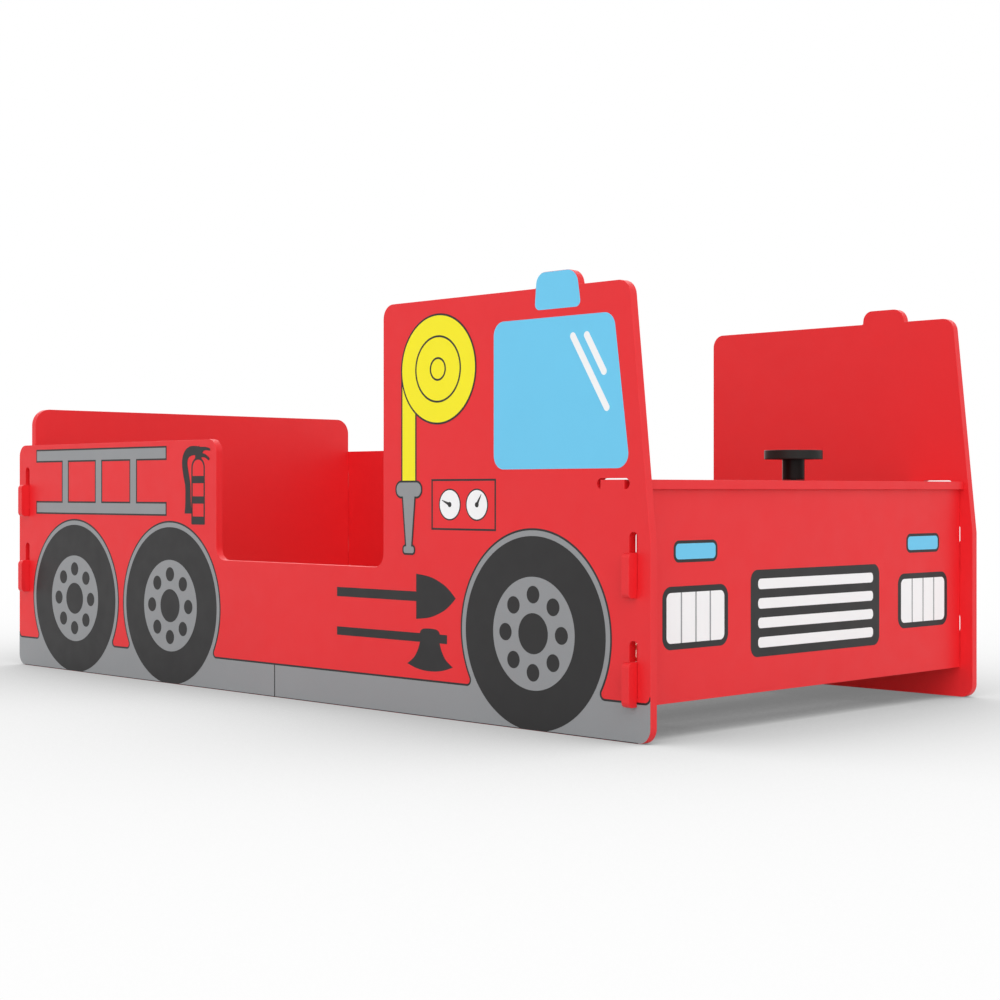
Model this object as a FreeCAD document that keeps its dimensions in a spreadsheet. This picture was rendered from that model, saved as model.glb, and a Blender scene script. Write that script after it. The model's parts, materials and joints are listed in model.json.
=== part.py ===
import FreeCAD, Part
import math
import os
import Sketcher

# Fire engine bed: a toddler bed whose boards hook together without tools.
# Two printed sides stand on the floor. The front board and the headboard hang in slots in the sides by
# their hooks, a dash shelf lies on the front board, and slats on two bearer rails carry the mattress.
# Frame: +X runs to the cab's front, +Y to the left side, +Z up; the origin is on the floor, mid bed.

SIZES = {
    # Mattress and boards
    "mattress_length": 1400.0,
    "mattress_width": 700.0,
    "mattress_gap": 16.0,
    "board": 12.0,
    "end_inset": 22.0,
    "corner_radius": 20.0,
    "edge_round": 0.4,
    # Outline of a side
    "rear_height": 394.5,
    "rear_length": 600.0,
    "sill_height": 204.0,
    "opening_length": 401.0,
    "cab_height": 576.5,
    "screen_foot_height": 249.7,
    "screen_lean": 34.5,
    "beacon_setback": 120.7,
    "beacon_length": 76.0,
    "beacon_height": 20.5,
    "beacon_front_lean": 3.2,
    "beacon_rear_lean": 1.6,
    "beacon_front_share": 0.97,
    "beacon_rear_share": 0.78,
    "beacon_root_share": 0.12,
    # Hooks of the end boards and their slots
    "slot_play": 0.75,
    "hook_pitch": 135.0,
    "hook_neck": 45.0,
    "hook_drop": 11.0,
    "hook_reach": 15.8,
    "hook_round": 7.0,
    "lip_gap": 0.5,
    "end_play": 0.3,
    "front_seat": 56.0,
    "front_headroom": 26.2,
    "rear_headroom": 31.6,
    "rear_slot_margin": 39.4,
    # Front board, headboard and dash shelf
    "end_foot": 45.0,
    "headboard_rise": 65.5,
    "headboard_round": 29.0,
    "shelf_height": 315.0,
    "shelf_depth": 96.0,
    "shelf_overhang": 7.0,
    "tab_width": 40.0,
    "tab_front_play": 8.8,
    "tab_rear_play": 5.9,
    "tab_headroom": 1.9,
    # Bearer rails and slats
    "rail_depth": 20.0,
    "rail_height": 40.0,
    "rail_foot": 53.0,
    "rail_end_play": 1.0,
    "rail_round": 2.0,
    "slat_width": 70.0,
    "slat_thickness": 12.0,
    "slat_end_play": 2.0,
    "slat_margin": 6.0,
    "slat_round": 2.5,
    "tape_width": 25.0,
    "tape_thickness": 1.2,
    "tape_inset": 130.0,
    # Wood screws
    "screw_diameter": 4.0,
    "screw_head": 8.0,
    "screw_play": 0.1,
    "screw_bite": 8.0,
    "screw_margin": 90.0,
    "slat_screw_bite": 18.0,
    # Steering
    "wheel_diameter": 81.0,
    "wheel_rise": 30.0,
    "rim_height": 12.5,
    "rim_width": 12.0,
    "rim_round": 1.0,
    "spoke_width": 12.0,
    "spoke_thickness": 6.0,
    "spoke_lift": 3.5,
    "hub_diameter": 28.0,
    "hub_height": 11.0,
    "hub_floor": 4.0,
    "hub_round": 1.5,
    "column_diameter": 31.0,
    "column_round": 1.0,
    "bolt_diameter": 8.0,
    "bolt_tail": 3.0,
    "bolt_head": 14.0,
    "bolt_head_height": 3.5,
    "bolt_play": 0.2,
    "running_play": 0.05,
    "running_gap": 0.3,
    "bush_diameter": 14.0,
    "bush_flange": 1.6,
    "cap_diameter": 20.0,
    "cap_rim": 1.2,
    "cap_crown": 1.6,
    "cap_skirt": 1.8,
    "cap_round_share": 0.8,
    "washer_diameter": 20.0,
    "washer_thickness": 1.6,
    "nut_width": 13.0,
    "nut_height": 8.0,
}

SLAT_COUNT = 12
RAIL_SCREW_COUNT = 6
HOOK_COUNT = 2
SPOKE_COUNT = 3
SAME_PLACE = 0.001

document = FreeCAD.newDocument("fire_engine_bed")
sheet = document.addObject("Spreadsheet::Sheet", "Sizes")
for row, (alias, size) in enumerate(SIZES.items(), 1):
    sheet.set(f"A{row}", alias)
    sheet.set(f"B{row}", str(size))
    sheet.setAlias(f"B{row}", alias)
document.recompute()


# Lengths that carry their expression
class Length:
    """A length from the sheet, or worked out from others: its value now and the expression that binds it."""

    def __init__(self, value, text):
        self.value = float(value)
        self.text = text

    def __add__(self, other):
        return Length(self.value + value_of(other), f"({self.text} + {text_of(other)})")

    def __sub__(self, other):
        return Length(self.value - value_of(other), f"({self.text} - {text_of(other)})")

    def __mul__(self, other):
        return Length(self.value * value_of(other), f"({self.text} * {text_of(other)})")

    def __truediv__(self, other):
        return Length(self.value / value_of(other), f"({self.text} / {text_of(other)})")

    def __neg__(self):
        return Length(-self.value, f"(0 - {self.text})")


def value_of(item):
    return item.value if isinstance(item, Length) else float(item)


def text_of(item):
    return item.text if isinstance(item, Length) else str(item)


def cell(alias):
    return Length(sheet.get(alias), f"Sizes.{alias}")


ZERO = Length(0, "0")
board = cell("board")
inner_length = cell("mattress_length") + cell("mattress_gap") * 2
inner_width = cell("mattress_width") + cell("mattress_gap") * 2
side_length = inner_length + (board + cell("end_inset")) * 2
half_length = side_length / 2
half_width = inner_width / 2
rail_top = cell("rail_foot") + cell("rail_height")
shelf_top = cell("shelf_height") + board
shelf_front = half_length - cell("end_inset") + cell("shelf_overhang")
shelf_middle = shelf_front - cell("shelf_depth") / 2


# Building blocks
def bind(target, path, length):
    target.setExpression(path, length.text)


def place(target, across, along, up):
    for axis, length in zip("xyz", (across, along, up)):
        bind(target, f"Placement.Base.{axis}", length)


def new_body(label):
    body = document.addObject("PartDesign::Body", label)
    body.Label = label
    return body


def sketch_on(body, role, name, lift=ZERO):
    """A sketch on one of the body's origin planes, lifted off it along its normal."""
    plane = next(item for item in body.Origin.OriginFeatures if item.Role == role)
    sketch = body.newObject("Sketcher::SketchObject", f"{body.Label}_{name}_sketch")
    sketch.AttachmentSupport = (plane, [""])
    sketch.MapMode = "FlatFace"
    bind(sketch, "AttachmentOffset.Base.z", lift)
    return sketch


def fix_point(sketch, geometry, point, across, up):
    """Ties a point of the sketch to its place, measured from the sketch's origin."""
    for kind, length in (("DistanceX", across), ("DistanceY", up)):
        index = sketch.addConstraint(Sketcher.Constraint(kind, -1, 1, geometry, point, length.value))
        bind(sketch, f"Constraints[{index}]", length)


def vector(across, up):
    return FreeCAD.Vector(across.value, up.value, 0)


def draw_outline(sketch, corners):
    """A closed outline of straight edges through the corners."""
    first = sketch.GeometryCount
    count = len(corners)
    for index in range(count):
        start = vector(*corners[index])
        end = vector(*corners[(index + 1) % count])
        sketch.addGeometry(Part.LineSegment(start, end), False)
    for index in range(count):
        following = first + (index + 1) % count
        sketch.addConstraint(Sketcher.Constraint("Coincident", first + index, 2, following, 1))
    for index, (across, up) in enumerate(corners):
        fix_point(sketch, first + index, 1, across, up)


def draw_arc(sketch, across, up, radius, start_angle, end_angle):
    circle = Part.Circle(vector(across, up), FreeCAD.Vector(0, 0, 1), radius.value)
    return sketch.addGeometry(Part.ArcOfCircle(circle, start_angle, end_angle), False)


def draw_line(sketch, start, end):
    return sketch.addGeometry(Part.LineSegment(vector(*start), vector(*end)), False)


def fix_radius(sketch, geometry, radius):
    index = sketch.addConstraint(Sketcher.Constraint("Radius", geometry, radius.value))
    bind(sketch, f"Constraints[{index}]", radius)


def draw_arched_slot(sketch, middle, bottom, top, width):
    """An upright slot with a flat bottom, on which a neck sits, and a round top."""
    radius = width / 2
    spring = top - radius
    left = middle - radius
    right = middle + radius
    base = draw_line(sketch, (left, bottom), (right, bottom))
    rise = draw_line(sketch, (right, bottom), (right, spring))
    arch = draw_arc(sketch, middle, spring, radius, 0, math.pi)
    fall = draw_line(sketch, (left, spring), (left, bottom))
    sketch.addConstraint(Sketcher.Constraint("Coincident", base, 2, rise, 1))
    sketch.addConstraint(Sketcher.Constraint("Tangent", rise, 2, arch, 1))
    sketch.addConstraint(Sketcher.Constraint("Tangent", arch, 2, fall, 1))
    sketch.addConstraint(Sketcher.Constraint("Coincident", fall, 2, base, 1))
    sketch.addConstraint(Sketcher.Constraint("Vertical", rise))
    sketch.addConstraint(Sketcher.Constraint("Horizontal", base))
    fix_radius(sketch, arch, radius)
    fix_point(sketch, arch, 3, middle, spring)
    fix_point(sketch, base, 1, left, bottom)


def draw_round_slot(sketch, start, end, level, height):
    """A lying slot with round ends, from start to end over all."""
    radius = height / 2
    near = start + radius
    far = end - radius
    middle = level + radius
    right_end = draw_arc(sketch, far, middle, radius, -math.pi / 2, math.pi / 2)
    roof = draw_line(sketch, (far, level + height), (near, level + height))
    left_end = draw_arc(sketch, near, middle, radius, math.pi / 2, math.pi * 3 / 2)
    floor = draw_line(sketch, (near, level), (far, level))
    sketch.addConstraint(Sketcher.Constraint("Tangent", right_end, 2, roof, 1))
    sketch.addConstraint(Sketcher.Constraint("Tangent", roof, 2, left_end, 1))
    sketch.addConstraint(Sketcher.Constraint("Tangent", left_end, 2, floor, 1))
    sketch.addConstraint(Sketcher.Constraint("Tangent", floor, 2, right_end, 1))
    sketch.addConstraint(Sketcher.Constraint("Equal", right_end, left_end))
    fix_radius(sketch, right_end, radius)
    fix_point(sketch, right_end, 3, far, middle)
    fix_point(sketch, left_end, 3, near, middle)


def draw_rounded_box(sketch, left, right, bottom, top, radius):
    """An upright rectangle whose four corners are rounded alike."""
    inner_left = left + radius
    inner_right = right - radius
    inner_bottom = bottom + radius
    inner_top = top - radius
    quarter = math.pi / 2
    parts = [
        draw_line(sketch, (inner_left, bottom), (inner_right, bottom)),
        draw_arc(sketch, inner_right, inner_bottom, radius, -quarter, 0),
        draw_line(sketch, (right, inner_bottom), (right, inner_top)),
        draw_arc(sketch, inner_right, inner_top, radius, 0, quarter),
        draw_line(sketch, (inner_right, top), (inner_left, top)),
        draw_arc(sketch, inner_left, inner_top, radius, quarter, quarter * 2),
        draw_line(sketch, (left, inner_top), (left, inner_bottom)),
        draw_arc(sketch, inner_left, inner_bottom, radius, quarter * 2, quarter * 3),
    ]
    for index, item in enumerate(parts):
        sketch.addConstraint(Sketcher.Constraint("Tangent", item, 2, parts[(index + 1) % len(parts)], 1))
    for arc in parts[3::2]:
        sketch.addConstraint(Sketcher.Constraint("Equal", parts[1], arc))
    fix_radius(sketch, parts[1], radius)
    sketch.addConstraint(Sketcher.Constraint("Horizontal", parts[0]))
    fix_point(sketch, parts[1], 3, inner_right, inner_bottom)
    fix_point(sketch, parts[5], 3, inner_left, inner_top)


def draw_circle(sketch, across, up, radius):
    circle = Part.Circle(vector(across, up), FreeCAD.Vector(0, 0, 1), radius.value)
    index = sketch.addGeometry(circle, False)
    fix_point(sketch, index, 3, across, up)
    fix_radius(sketch, index, radius)


def pad(body, sketch, name, length, backwards=False):
    feature = body.newObject("PartDesign::Pad", f"{body.Label}_{name}")
    feature.Profile = sketch
    feature.Reversed = backwards
    bind(feature, "Length", length)
    document.recompute()
    return feature


def cut(body, sketch, name, backwards, depth=None):
    """A pocket, right through unless a depth is given, which has to take material away."""
    before = body.Shape.Volume
    feature = body.newObject("PartDesign::Pocket", f"{body.Label}_{name}")
    feature.Profile = sketch
    feature.Reversed = backwards
    if depth is None:
        feature.Type = "ThroughAll"
    else:
        bind(feature, "Length", depth)
    document.recompute()
    if feature.Shape.isNull() or feature.Shape.Volume >= before:
        raise RuntimeError(f"{body.Label}: {name} cuts nothing")
    return feature


def turn(body, sketch, name):
    """A revolution of the sketch about its own upright axis."""
    feature = body.newObject("PartDesign::Revolution", f"{body.Label}_{name}")
    feature.Profile = sketch
    feature.ReferenceAxis = (sketch, ["V_Axis"])
    feature.Angle = 360
    document.recompute()
    return feature


def round_edges(body, name, radius, wanted):
    """A fillet on every edge of the body that the test picks."""
    base = body.Tip
    edges = [f"Edge{number}" for number, edge in enumerate(base.Shape.Edges, 1) if wanted(edge)]
    if not edges:
        raise RuntimeError(f"{body.Label}: no edge found for {name}")
    feature = body.newObject("PartDesign::Fillet", f"{body.Label}_{name}")
    feature.Base = (base, edges)
    bind(feature, "Radius", radius)
    document.recompute()
    return feature


def near(value, length):
    return abs(value - length.value) < SAME_PLACE


def runs_along(edge, axis):
    """True for a straight edge along the axis, given as 0, 1 or 2."""
    if not isinstance(edge.Curve, Part.Line):
        return False
    step = edge.Vertexes[1].Point - edge.Vertexes[0].Point
    return all(abs(step[other]) < SAME_PLACE for other in range(3) if other != axis)


def lies_at(edge, axis, *levels):
    """True for an edge that lies wholly in one of the planes across the axis."""
    box = edge.BoundBox
    low = (box.XMin, box.YMin, box.ZMin)[axis]
    high = (box.XMax, box.YMax, box.ZMax)[axis]
    return any(near(low, level) and near(high, level) for level in levels)


def ring_at(edge, level, radius):
    """True for a full circle about the upright axis."""
    if not isinstance(edge.Curve, Part.Circle):
        return False
    return near(edge.Curve.Center.z, level) and near(edge.Curve.Radius, radius)


def turned_body(label, corners):
    """A turned piece about its own upright axis, from the corners (radius, height) of its half section."""
    body = new_body(label)
    section = sketch_on(body, "XZ_Plane", "section")
    draw_outline(section, corners)
    turn(body, section, "turned")
    return body


# Sides
screen_top = side_length - cell("screen_lean")
beacon_front = side_length - cell("beacon_setback")
beacon_rear = beacon_front - cell("beacon_length")
beacon_front_top = beacon_front - cell("beacon_front_lean")
beacon_rear_top = beacon_rear + cell("beacon_rear_lean")
beacon_top = cell("cab_height") + cell("beacon_height")
cab_rear = cell("rear_length") + cell("opening_length")
slot_width = board + cell("slot_play") * 2
rear_slot_top = cell("rear_height") - cell("rear_slot_margin")
rear_neck_top = rear_slot_top - cell("rear_headroom")
rear_seat = rear_neck_top - cell("hook_neck") - cell("hook_pitch") * (HOOK_COUNT - 1)
rear_slot_middle = cell("end_inset") + board / 2
front_slot_middle = side_length - cell("end_inset") - board / 2


def side_corners():
    """Outline of a side, from its rear bottom corner, X from the rear end and Z from the floor."""
    return [
        (ZERO, ZERO),
        (side_length, ZERO),
        (side_length, cell("screen_foot_height")),
        (screen_top, cell("cab_height")),
        (beacon_front, cell("cab_height")),
        (beacon_front_top, beacon_top),
        (beacon_rear_top, beacon_top),
        (beacon_rear, cell("cab_height")),
        (cab_rear, cell("cab_height")),
        (cab_rear, cell("sill_height")),
        (cell("rear_length"), cell("sill_height")),
        (cell("rear_length"), cell("rear_height")),
        (ZERO, cell("rear_height")),
    ]


def is_beacon_top(edge):
    return runs_along(edge, 1) and near(edge.Vertexes[0].Z, beacon_top)


def is_beacon_front(edge):
    return is_beacon_top(edge) and near(edge.Vertexes[0].X, beacon_front_top)


def is_beacon_rear(edge):
    return is_beacon_top(edge) and near(edge.Vertexes[0].X, beacon_rear_top)


def is_beacon_root(edge):
    if not runs_along(edge, 1) or not near(edge.Vertexes[0].Z, cell("cab_height")):
        return False
    return near(edge.Vertexes[0].X, beacon_rear) or near(edge.Vertexes[0].X, beacon_front)


def is_side_corner(edge):
    return runs_along(edge, 1) and not is_beacon_top(edge) and not is_beacon_root(edge)


def rail_screw_places():
    """Distances of the rail screws from the rear end of a side."""
    first = cell("screw_margin")
    step = (side_length - cell("screw_margin") * 2) / (RAIL_SCREW_COUNT - 1)
    return [first + step * index for index in range(RAIL_SCREW_COUNT)]


def side_panel(label, outward):
    """One side, with its inner face on the sketch plane; outward is -1 for the right and 1 for the left."""
    to_left = outward > 0
    outer_face = board * outward
    body = new_body(label)
    outline = sketch_on(body, "XZ_Plane", "outline")
    draw_outline(outline, side_corners())
    pad(body, outline, "board", board, to_left)

    beacon_height = cell("beacon_height")
    round_edges(body, "corners", cell("corner_radius"), is_side_corner)
    round_edges(body, "beacon_front", beacon_height * cell("beacon_front_share"), is_beacon_front)
    round_edges(body, "beacon_rear", beacon_height * cell("beacon_rear_share"), is_beacon_rear)
    round_edges(body, "beacon_roots", beacon_height * cell("beacon_root_share"), is_beacon_root)
    round_edges(body, "edges", cell("edge_round"), lambda edge: lies_at(edge, 1, ZERO, outer_face))

    slots = sketch_on(body, "XZ_Plane", "slots")
    for middle, seat, headroom in (
        (rear_slot_middle, rear_seat, cell("rear_headroom")),
        (front_slot_middle, cell("front_seat"), cell("front_headroom")),
    ):
        for number in range(HOOK_COUNT):
            bottom = seat + cell("hook_pitch") * number
            draw_arched_slot(slots, middle, bottom, bottom + cell("hook_neck") + headroom, slot_width)
    half_tab = cell("tab_width") / 2
    tab_middle = shelf_middle + half_length
    slot_start = tab_middle - half_tab - cell("tab_rear_play")
    slot_end = tab_middle + half_tab + cell("tab_front_play")
    draw_round_slot(slots, slot_start, slot_end, cell("shelf_height"), board + cell("tab_headroom"))
    cut(body, slots, "slot_cuts", not to_left)

    pilots = sketch_on(body, "XZ_Plane", "pilots")
    pilot_radius = cell("screw_diameter") / 2 + cell("screw_play")
    for along in rail_screw_places():
        draw_circle(pilots, along, cell("rail_foot") + cell("rail_height") / 2, pilot_radius)
    cut(body, pilots, "pilot_holes", not to_left, cell("screw_bite") + cell("screw_play"))
    place(body, -half_length, half_width * outward, ZERO)
    return body


# Front board and headboard
neck_end = half_width - cell("end_play")
lip_inner = half_width + board + cell("lip_gap")
hook_tip = half_width + board + cell("hook_reach")


def end_board(label, foot, top, seat):
    """A board across the bed with two hooks at each end, whose necks sit at the given height."""
    half = [(neck_end, foot)]
    for number in range(HOOK_COUNT):
        neck_bottom = seat + cell("hook_pitch") * number
        neck_top = neck_bottom + cell("hook_neck")
        lip_bottom = neck_bottom - cell("hook_drop")
        half.append((neck_end, neck_bottom))
        half.append((lip_inner, neck_bottom))
        half.append((lip_inner, lip_bottom))
        half.append((hook_tip, lip_bottom))
        half.append((hook_tip, neck_top))
        half.append((neck_end, neck_top))
    half.append((neck_end, top))
    mirrored = [(-across, up) for across, up in reversed(half)]

    body = new_body(label)
    outline = sketch_on(body, "YZ_Plane", "outline")
    draw_outline(outline, half + mirrored)
    pad(body, outline, "board", board)
    round_edges(body, "hook_tips", cell("hook_round"), is_hook_tip)
    return body


def is_hook_tip(edge):
    return runs_along(edge, 0) and near(abs(edge.Vertexes[0].Y), hook_tip)


def is_end_board_rim(edge):
    return lies_at(edge, 0, ZERO, board)


def front_board():
    back = half_length - cell("end_inset") - board
    body = end_board("front_panel", cell("end_foot"), cell("shelf_height"), cell("front_seat"))
    round_edges(body, "edges", cell("edge_round"), is_end_board_rim)
    place(body, back, ZERO, ZERO)
    return body


def headboard():
    back = cell("end_inset") - half_length
    top = cell("rear_height") + cell("headboard_rise")
    body = end_board("headboard", cell("end_foot"), top, rear_seat)

    def is_top_corner(edge):
        return runs_along(edge, 0) and near(edge.Vertexes[0].Z, top)

    round_edges(body, "top_corners", cell("headboard_round"), is_top_corner)
    round_edges(body, "edges", cell("edge_round"), is_end_board_rim)
    place(body, back, ZERO, ZERO)
    return body


# Dash shelf
def dash_shelf():
    """The shelf behind the screen, with a tab at each end that lies in a side's slot, flush outside."""
    half_depth = cell("shelf_depth") / 2
    half_tab = cell("tab_width") / 2
    tab_end = half_width + board
    corners = [
        (-half_depth, -neck_end),
        (-half_tab, -neck_end),
        (-half_tab, -tab_end),
        (half_tab, -tab_end),
        (half_tab, -neck_end),
        (half_depth, -neck_end),
        (half_depth, neck_end),
        (half_tab, neck_end),
        (half_tab, tab_end),
        (-half_tab, tab_end),
        (-half_tab, neck_end),
        (-half_depth, neck_end),
    ]
    body = new_body("dash_shelf")
    outline = sketch_on(body, "XY_Plane", "outline")
    draw_outline(outline, corners)
    pad(body, outline, "board", board)

    def is_long_edge(edge):
        at_rim = near(edge.BoundBox.XMin, half_depth) or near(edge.BoundBox.XMax, -half_depth)
        return runs_along(edge, 1) and at_rim

    round_edges(body, "edges", cell("edge_round"), is_long_edge)
    bore = sketch_on(body, "XY_Plane", "bore")
    draw_circle(bore, ZERO, ZERO, cell("bush_diameter") / 2 + cell("running_play"))
    cut(body, bore, "bush_hole", True)
    place(body, shelf_middle, ZERO, cell("shelf_height"))
    return body


# Bearer rails, slats and tapes
def bearer_rail(label, outward):
    """A batten on the inside of a side. It runs between the end boards, and is screwed on from inside."""
    half_rail = inner_length / 2 - cell("rail_end_play")
    body = new_body(label)
    outline = sketch_on(body, "XZ_Plane", "outline")
    draw_outline(outline, [
        (-half_rail, ZERO),
        (half_rail, ZERO),
        (half_rail, cell("rail_height")),
        (-half_rail, cell("rail_height")),
    ])
    inner_face = cell("rail_depth") * -outward
    pad(body, outline, "batten", cell("rail_depth"), outward < 0)

    def is_inner_edge(edge):
        return runs_along(edge, 0) and near(edge.Vertexes[0].Y, inner_face)

    round_edges(body, "edges", cell("rail_round"), is_inner_edge)

    # The sketch of the countersinks lies on the inner face, and they narrow towards the side
    head_radius = cell("screw_head") / 2
    hole_radius = cell("screw_diameter") / 2 + cell("screw_play")
    holes = sketch_on(body, "XZ_Plane", "holes")
    sinks = sketch_on(body, "XZ_Plane", "sinks", cell("rail_depth") * outward)
    for along in rail_screw_places():
        draw_circle(holes, along - half_length, cell("rail_height") / 2, hole_radius)
        draw_circle(sinks, along - half_length, cell("rail_height") / 2, head_radius + cell("screw_play"))
    cut(body, holes, "screw_holes", outward > 0)
    sink_depth = head_radius - cell("screw_diameter") / 2
    sink = cut(body, sinks, "countersinks", outward < 0, sink_depth)
    sink.TaperAngle = -45
    document.recompute()
    place(body, ZERO, half_width * outward, cell("rail_foot"))
    return body


slat_pitch = (inner_length - cell("slat_margin") * 2 - cell("slat_width")) / (SLAT_COUNT - 1)
first_slat = -inner_length / 2 + cell("slat_margin") + cell("slat_width") / 2
slat_screw_line = half_width - cell("rail_depth") / 2


def slat_middle(index):
    return first_slat + slat_pitch * index


def slat(index):
    """One slat across the rails. The first and the last are screwed down, the tapes hold the others."""
    half_slat = half_width - cell("slat_end_play")
    half_across = cell("slat_width") / 2
    body = new_body(f"slat_{index + 1:02d}")
    outline = sketch_on(body, "XY_Plane", "outline")
    draw_outline(outline, [
        (-half_across, -half_slat),
        (half_across, -half_slat),
        (half_across, half_slat),
        (-half_across, half_slat),
    ])
    pad(body, outline, "batten", cell("slat_thickness"))
    round_edges(body, "edges", cell("slat_round"), lambda edge: runs_along(edge, 1))
    if index in (0, SLAT_COUNT - 1):
        head_radius = cell("screw_head") / 2
        hole_radius = cell("screw_diameter") / 2 + cell("screw_play")
        holes = sketch_on(body, "XY_Plane", "holes")
        sinks = sketch_on(body, "XY_Plane", "sinks", cell("slat_thickness"))
        for outward in (-1, 1):
            draw_circle(holes, ZERO, slat_screw_line * outward, hole_radius)
            draw_circle(sinks, ZERO, slat_screw_line * outward, head_radius + cell("screw_play"))
        cut(body, holes, "screw_holes", True)
        sink = cut(body, sinks, "countersinks", False, head_radius - cell("screw_diameter") / 2)
        sink.TaperAngle = -45
        document.recompute()
    place(body, slat_middle(index), ZERO, rail_top)
    return body


def slat_tape(label, outward):
    """Webbing tape under the slats, from the first slat to the last, which keeps them apart."""
    tape = document.addObject("Part::Box", label)
    tape.Label = label
    bind(tape, "Length", slat_pitch * (SLAT_COUNT - 1) + cell("tape_width"))
    bind(tape, "Width", cell("tape_width"))
    bind(tape, "Height", cell("tape_thickness"))
    middle = (half_width - cell("tape_inset")) * outward
    side = middle - cell("tape_width") / 2
    place(tape, first_slat - cell("tape_width") / 2, side, rail_top - cell("tape_thickness"))
    return tape


# Wood screws
def screw(name, length):
    """A countersunk screw along its own Z axis, point at the origin and head on top."""
    radius = cell("screw_diameter") / 2
    head_radius = cell("screw_head") / 2
    head_height = head_radius - radius
    shank = document.addObject("Part::Cylinder", f"{name}_shank")
    bind(shank, "Radius", radius)
    bind(shank, "Height", length - head_height)
    head = document.addObject("Part::Cone", f"{name}_head")
    bind(head, "Radius1", radius)
    bind(head, "Radius2", head_radius)
    bind(head, "Height", head_height)
    bind(head, "Placement.Base.z", length - head_height)
    whole = document.addObject("Part::Fuse", name)
    whole.Base = shank
    whole.Tool = head
    return whole


def screw_group(label, screws):
    group = document.addObject("Part::Compound", label)
    group.Label = label
    group.Links = screws
    return group


def rail_screws(label, outward):
    screws = []
    for number, along in enumerate(rail_screw_places(), 1):
        item = screw(f"{label}_{number}", cell("rail_depth") + cell("screw_bite"))
        item.Placement.Rotation = FreeCAD.Rotation(FreeCAD.Vector(1, 0, 0), 90 * outward)
        tip = (half_width + cell("screw_bite")) * outward
        place(item, along - half_length, tip, cell("rail_foot") + cell("rail_height") / 2)
        screws.append(item)
    return screw_group(label, screws)


def slat_screws(label):
    screws = []
    for index in (0, SLAT_COUNT - 1):
        for outward in (-1, 1):
            item = screw(f"{label}_{len(screws) + 1}", cell("slat_thickness") + cell("slat_screw_bite"))
            place(item, slat_middle(index), slat_screw_line * outward, rail_top - cell("slat_screw_bite"))
            screws.append(item)
    return screw_group(label, screws)


def drill_rail(rail, outward):
    """Pilot holes in a rail's top for the screws of the end slats."""
    pilots = sketch_on(rail, "XY_Plane", "slat_pilots", cell("rail_height"))
    radius = cell("screw_diameter") / 2 + cell("screw_play")
    for index in (0, SLAT_COUNT - 1):
        draw_circle(pilots, slat_middle(index), cell("rail_depth") / 2 * -outward, radius)
    cut(rail, pilots, "slat_pilot_holes", False, cell("slat_screw_bite") + cell("screw_play"))


# Steering: the wheel, its column and the bolt turn together in a flanged bush in the shelf
wheel_foot = shelf_top + cell("wheel_rise")
wheel_radius = cell("wheel_diameter") / 2
column_foot = shelf_top + cell("bush_flange") + cell("running_gap")
bolt_radius = cell("bolt_diameter") / 2
shank_hole = bolt_radius + cell("bolt_play")


def steering_wheel():
    """Hub, three spokes and a rim in one moulding. The hub has a well for the bolt's head and the cap."""
    rim_inner = wheel_radius - cell("rim_width")
    hub_radius = cell("hub_diameter") / 2
    well_radius = cell("bolt_head") / 2 + cell("bolt_play")
    seat_radius = cell("cap_diameter") / 2 - cell("cap_rim")
    seat_floor = cell("hub_height") - cell("cap_skirt")
    body = turned_body("steering_wheel", [
        (shank_hole, ZERO),
        (hub_radius, ZERO),
        (hub_radius, cell("hub_height")),
        (seat_radius, cell("hub_height")),
        (seat_radius, seat_floor),
        (well_radius, seat_floor),
        (well_radius, cell("hub_floor")),
        (shank_hole, cell("hub_floor")),
    ])
    round_edges(
        body, "hub_edge", cell("hub_round"), lambda edge: ring_at(edge, cell("hub_height"), hub_radius)
    )

    # A spoke starts inside the hub's wall and ends inside the rim's section; the first points to the driver
    half_spoke = cell("spoke_width") / 2
    spoke_start = (seat_radius + hub_radius) / 2
    spoke_end = rim_inner + cell("rim_width") / 2
    bar = sketch_on(body, "XY_Plane", "spoke", cell("spoke_lift"))
    draw_outline(bar, [
        (-spoke_end, -half_spoke),
        (-spoke_start, -half_spoke),
        (-spoke_start, half_spoke),
        (-spoke_end, half_spoke),
    ])
    spoke = pad(body, bar, "spoke_bar", cell("spoke_thickness"))
    spokes = body.newObject("PartDesign::PolarPattern", "steering_wheel_spokes")
    spokes.Originals = [spoke]
    spokes.Axis = (bar, ["N_Axis"])
    spokes.Angle = 360
    spokes.Occurrences = SPOKE_COUNT
    body.Tip = spokes
    document.recompute()

    rim_section = sketch_on(body, "XZ_Plane", "rim_section")
    draw_rounded_box(rim_section, rim_inner, wheel_radius, ZERO, cell("rim_height"), cell("rim_round"))
    turn(body, rim_section, "rim")
    place(body, shelf_middle, ZERO, wheel_foot)
    return body


def steering_column():
    radius = cell("column_diameter") / 2
    height = wheel_foot - column_foot
    body = turned_body("steering_column", [
        (shank_hole, ZERO),
        (radius, ZERO),
        (radius, height),
        (shank_hole, height),
    ])
    round_edges(body, "edges", cell("column_round"), lambda edge: ring_at(edge, ZERO, radius))
    place(body, shelf_middle, ZERO, column_foot)
    return body


def steering_bush():
    """Top-hat bush: its barrel fills the hole in the shelf, and its flange carries the column."""
    barrel = cell("bush_diameter") / 2
    flange = cell("column_diameter") / 2
    bore = bolt_radius + cell("running_play")
    body = turned_body("steering_bush", [
        (bore, -board),
        (barrel, -board),
        (barrel, ZERO),
        (flange, ZERO),
        (flange, cell("bush_flange")),
        (bore, cell("bush_flange")),
    ])
    place(body, shelf_middle, ZERO, shelf_top)
    return body


washer_top = cell("shelf_height") - cell("running_gap")
nut_top = washer_top - cell("washer_thickness")


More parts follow.
